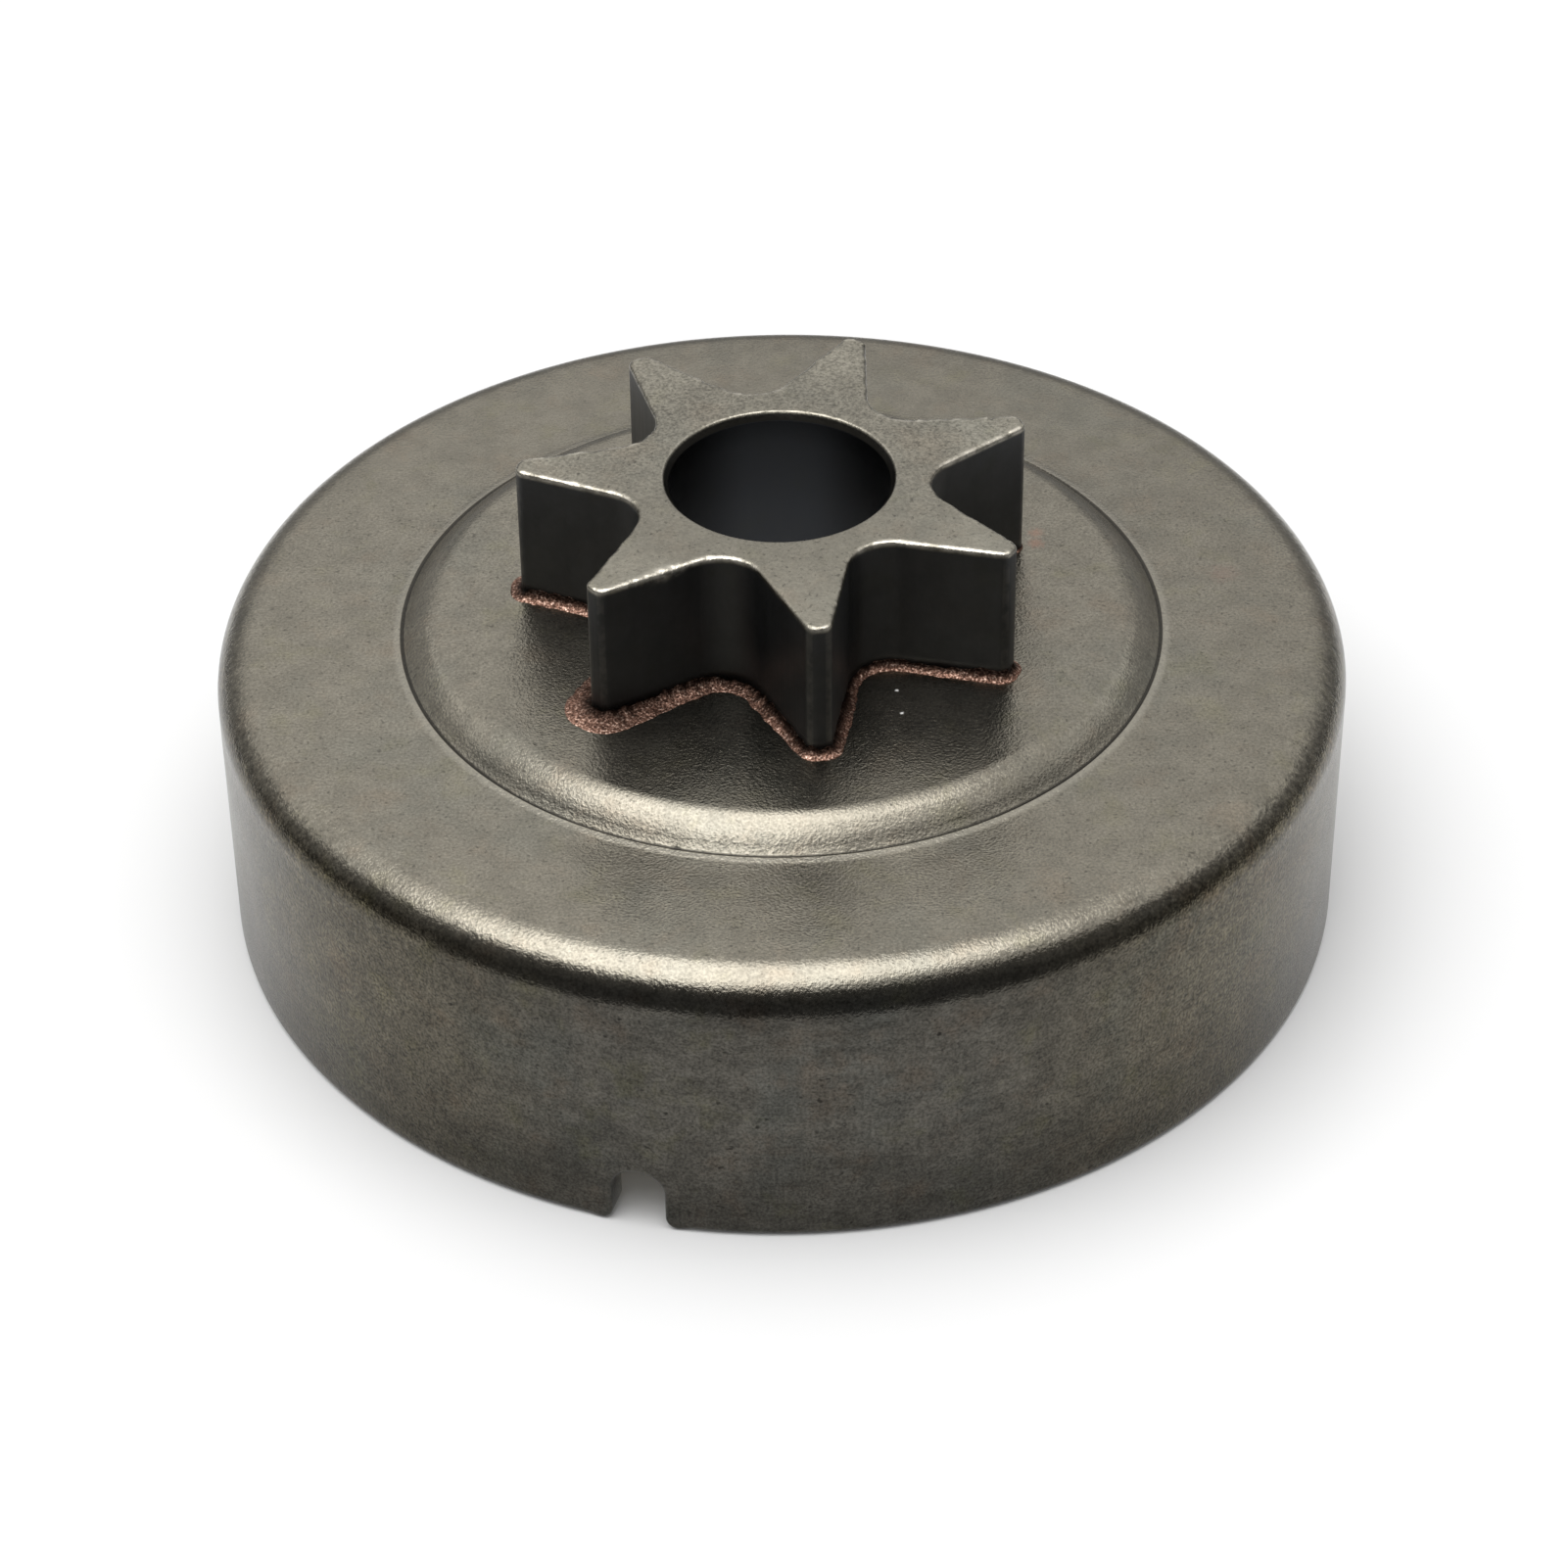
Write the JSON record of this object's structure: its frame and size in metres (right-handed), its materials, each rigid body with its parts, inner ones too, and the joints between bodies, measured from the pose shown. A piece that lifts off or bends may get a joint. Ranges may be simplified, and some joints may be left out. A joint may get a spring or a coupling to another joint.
{
  "type": "chainsaw spur sprocket",
  "caption": "Pressed steel clutch drum with a star sprocket brazed onto its boss; it turns on a needle cage and drives a saw chain.",
  "frame": {"origin": "centre of the rim, on the plane that the drum stands on", "axes": "+Z along the bore from the open end of the drum to the star; the camera of the picture looks along +Y, with +X to the right"},
  "size_m": [0.078, 0.078, 0.0335],
  "materials": {
    "drum_steel": "satin, darkened by furnace scale",
    "star_steel": "satin, with bright worn edges",
    "copper_braze": "rough granular copper braze"
  },
  "bodies": {
    "root": {"clutch_drum": "drum_steel", "spur_sprocket": "star_steel", "braze_fillet": "copper_braze"}
  },
  "joints": []
}
